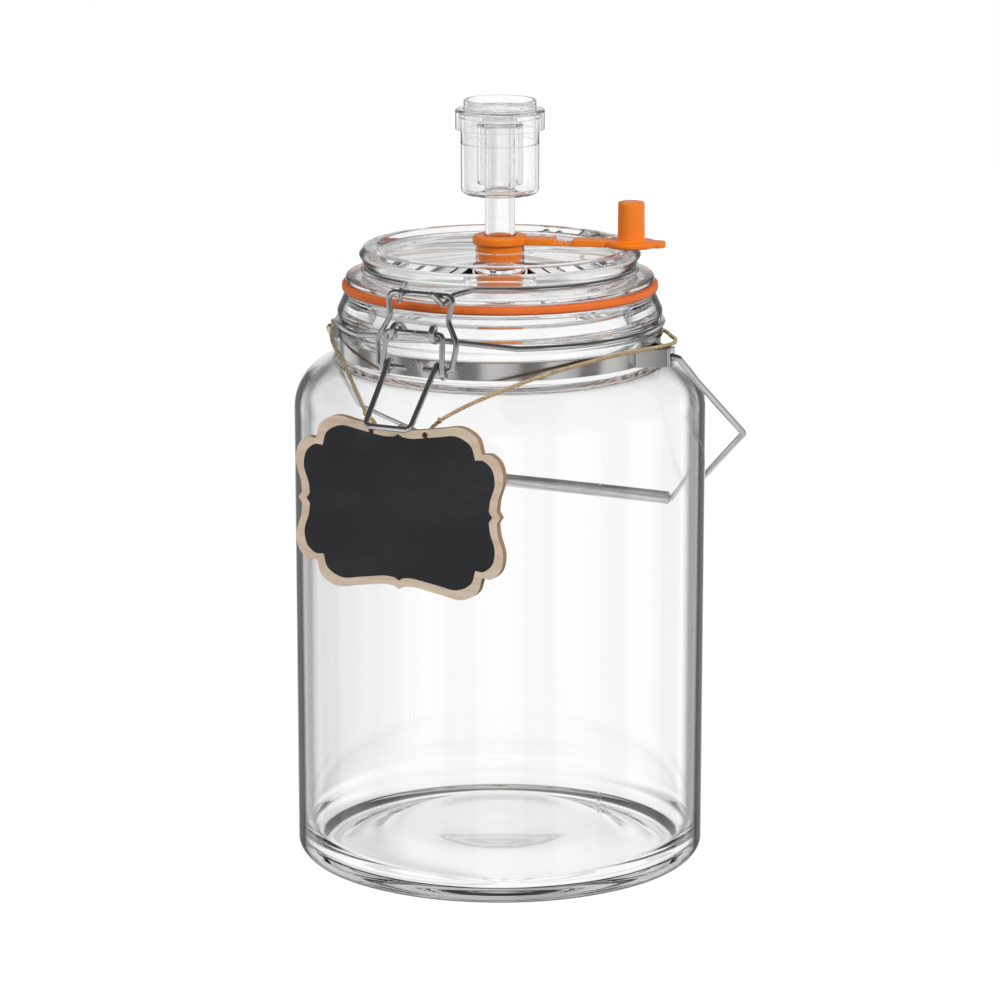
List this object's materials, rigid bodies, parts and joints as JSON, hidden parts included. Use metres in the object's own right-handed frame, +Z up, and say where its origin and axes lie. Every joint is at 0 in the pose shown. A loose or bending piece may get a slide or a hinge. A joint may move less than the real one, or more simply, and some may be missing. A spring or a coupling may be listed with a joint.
{
  "type": "fermentation jar with airlock",
  "caption": "Clamp-lid glass jar for fermenting, with a wire latch, a carrying handle, a water airlock, a stopper on a strap and a chalkboard label on twine.",
  "frame": {"origin": "middle of the base, on the surface that the jar stands on", "axes": "+Z up along the jar's axis, -Y towards the latch and the label, +X to the right of someone who faces the label"},
  "size_m": [0.1742, 0.1819, 0.2985],
  "materials": {
    "glass": "clear pressed glass with a polished surface",
    "steel": "bright drawn steel wire and strap",
    "gasket_rubber": "matte orange rubber",
    "silicone": "satin orange silicone",
    "airlock_plastic": "clear moulded plastic",
    "plywood": "pale plywood with a darker cut edge",
    "slate_face": "matte slate black",
    "twine": "twisted jute"
  },
  "bodies": {
    "jar": {"jar_body": "glass", "neck_band": "steel", "band_ear_left": "steel", "band_ear_right": "steel", "neck_wire": "steel", "twine": "twine"},
    "lid": {"lid_glass": "glass", "lid_gasket": "gasket_rubber", "lid_wire": "steel", "stopper_grommet": "silicone"},
    "lever": {"latch_lever": "steel"},
    "link": {"latch_link": "steel"},
    "handle": {"handle_bail": "steel"},
    "grip": {"handle_grip": "steel"},
    "plug": {"stopper_plug": "silicone"},
    "airlock": {"airlock_cup": "airlock_plastic"},
    "float": {"airlock_float": "airlock_plastic"},
    "cap": {"airlock_cap": "airlock_plastic"},
    "label": {"label_board": "plywood", "label_face": "slate_face", "twine_ties": "twine"}
  },
  "joints": [
    {"name": "lid_hinge", "type": "hinge", "parent": "jar", "child": "lid", "pos_m": [0, 0.07, 0.2245], "axis": [-1, 0, 0], "range_deg": [0, 105]},
    {"name": "latch_lever_turn", "type": "hinge", "parent": "jar", "child": "lever", "pos_m": [0, -0.0725, 0.2195], "axis": [-1, 0, 0], "range_deg": [0, 95]},
    {"name": "latch_link_turn", "type": "hinge", "parent": "lever", "child": "link", "pos_m": [0, -0.0725, 0.206], "axis": [-1, 0, 0], "range_deg": [-126.5, 0]},
    {"name": "handle_swing", "type": "hinge", "parent": "jar", "child": "handle", "pos_m": [0, 0, 0.204], "axis": [1, 0, 0], "range_deg": [0, 150]},
    {"name": "grip_spin", "type": "hinge", "parent": "handle", "child": "grip", "pos_m": [0, 0.0829, 0.12989], "axis": [1, 0, 0], "continuous": true},
    {"name": "plug_lift", "type": "hinge", "parent": "lid", "child": "plug", "pos_m": [0.0241, 0.00737, 0.2438], "axis": [0.2924, -0.9563, 0], "range_deg": [0, 60]},
    {"name": "airlock_lift", "type": "slide", "parent": "lid", "child": "airlock", "axis": [0, 0, 1], "range_m": [0, 0.028]},
    {"name": "cap_lift", "type": "slide", "parent": "airlock", "child": "cap", "axis": [0, 0, 1], "range_m": [0, 0.012]},
    {"name": "float_rise", "type": "slide", "parent": "airlock", "child": "float", "axis": [0, 0, 1], "range_m": [0, 0.0035]},
    {"name": "label_swing", "type": "hinge", "parent": "jar", "child": "label", "pos_m": [0, -0.08045, 0.189], "axis": [-1, 0, 0], "range_deg": [0, 60]}
  ],
  "couplings": [
    {"joint": "latch_lever_turn", "follows": "lid_hinge", "ratio": 0.9},
    {"joint": "latch_link_turn", "follows": "lid_hinge", "ratio": -1.2}
  ]
}
